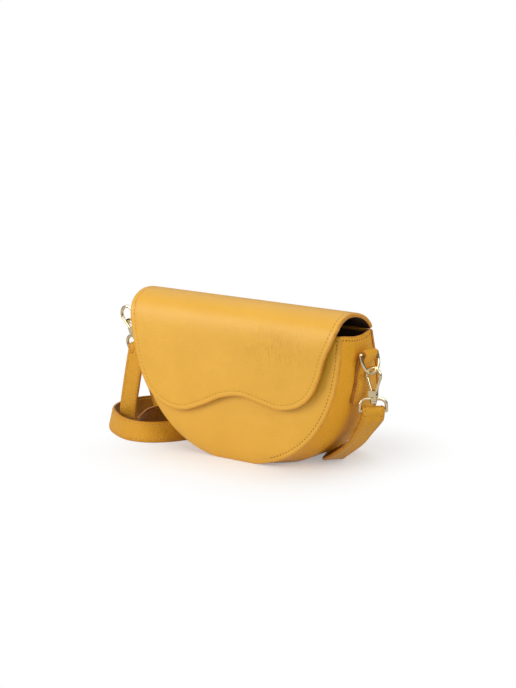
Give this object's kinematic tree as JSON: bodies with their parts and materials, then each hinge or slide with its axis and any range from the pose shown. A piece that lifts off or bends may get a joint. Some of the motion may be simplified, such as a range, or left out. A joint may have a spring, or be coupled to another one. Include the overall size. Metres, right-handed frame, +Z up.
{
  "type": "saddle handbag",
  "caption": "Rounded firm-leather shoulder bag with a wavy hinged flap, magnetic snap, D-rings in side tabs and a flat strap on swivel hooks.",
  "frame": {"origin": "middle of the flat base on the floor", "axes": "+X towards the bag's right end as the front is seen, -Y out of the front, +Z up"},
  "size_m": [0.3355, 0.1403, 0.1489],
  "materials": {
    "leather": "smooth semi-matt",
    "flap_lining": "matt",
    "lining": "matt",
    "gold": "polished pale gold plating",
    "steel": "plain"
  },
  "bodies": {
    "bag": {"front_panel": "leather", "back_panel": "leather", "gusset": "leather", "front_lining": "lining", "back_lining": "lining", "gusset_lining": "lining", "slip_pocket": "lining", "flap_tail": "leather", "snap_socket": "gold", "snap_magnet": "steel", "socket_washer": "steel", "ring_tab_right": "leather", "ring_tab_left": "leather", "strap_rise_left": "leather", "strap_inner_run": "leather", "strap_loop_front": "leather", "strap_loop_back": "leather", "strap_behind": "leather", "strap_rise_right": "leather"},
    "flap": {"flap_outer": "leather", "flap_lining": "flap_lining", "snap_stud": "gold", "stud_washer": "steel"},
    "ring_right": {"d_ring_right": "gold"},
    "ring_left": {"d_ring_left": "gold"},
    "loop_right": {"strap_loop_right": "gold"},
    "loop_left": {"strap_loop_left": "gold"},
    "hook_right": {"hook_body_right": "gold", "swivel_stem_right": "gold", "gate_pin_right": "gold", "gate_spring_right": "steel"},
    "hook_left": {"hook_body_left": "gold", "swivel_stem_left": "gold", "gate_pin_left": "gold", "gate_spring_left": "steel"},
    "gate_right": {"hook_gate_right": "gold"},
    "gate_left": {"hook_gate_left": "gold"}
  },
  "joints": [
    {"name": "flap_hinge", "type": "hinge", "parent": "bag", "child": "flap", "pos_m": [0, 0.00285, 0.131], "axis": [-1, 0, 0], "range_deg": [0, 150]},
    {"name": "ring_swing_right", "type": "hinge", "parent": "bag", "child": "ring_right", "pos_m": [0.13014, -0.02143, 0.113], "axis": [0, -1, 0], "range_deg": [0, 8]},
    {"name": "loop_swing_right", "type": "hinge", "parent": "bag", "child": "loop_right", "pos_m": [0.1355, -0.02143, 0.06137], "axis": [0.766, 0.6428, 0], "range_deg": [-2, 4]},
    {"name": "hook_swivel_right", "type": "hinge", "parent": "loop_right", "child": "hook_right", "pos_m": [0.1355, -0.02143, 0.06137], "axis": [0, 0, 1], "range_deg": [-12, 12]},
    {"name": "gate_right", "type": "hinge", "parent": "hook_right", "child": "gate_right", "pos_m": [0.13764, -0.02143, 0.07802], "axis": [0, -1, 0], "range_deg": [0, 24], "stiffness_Nm_per_rad": 0.002},
    {"name": "ring_swing_left", "type": "hinge", "parent": "bag", "child": "ring_left", "pos_m": [-0.13014, -0.02143, 0.113], "axis": [0, 1, 0], "range_deg": [0, 8]},
    {"name": "loop_swing_left", "type": "hinge", "parent": "bag", "child": "loop_left", "pos_m": [-0.13863, -0.02143, 0.08802], "axis": [0.9135, 0, 0.4067], "range_deg": [-5, 5]},
    {"name": "hook_swivel_left", "type": "hinge", "parent": "loop_left", "child": "hook_left", "pos_m": [-0.13863, -0.02143, 0.08802], "axis": [-0.4067, 0, 0.9135], "range_deg": [-12, 12]},
    {"name": "gate_left", "type": "hinge", "parent": "hook_left", "child": "gate_left", "pos_m": [-0.14737, -0.02143, 0.10236], "axis": [0, 1, 0], "range_deg": [0, 16], "stiffness_Nm_per_rad": 0.002}
  ]
}
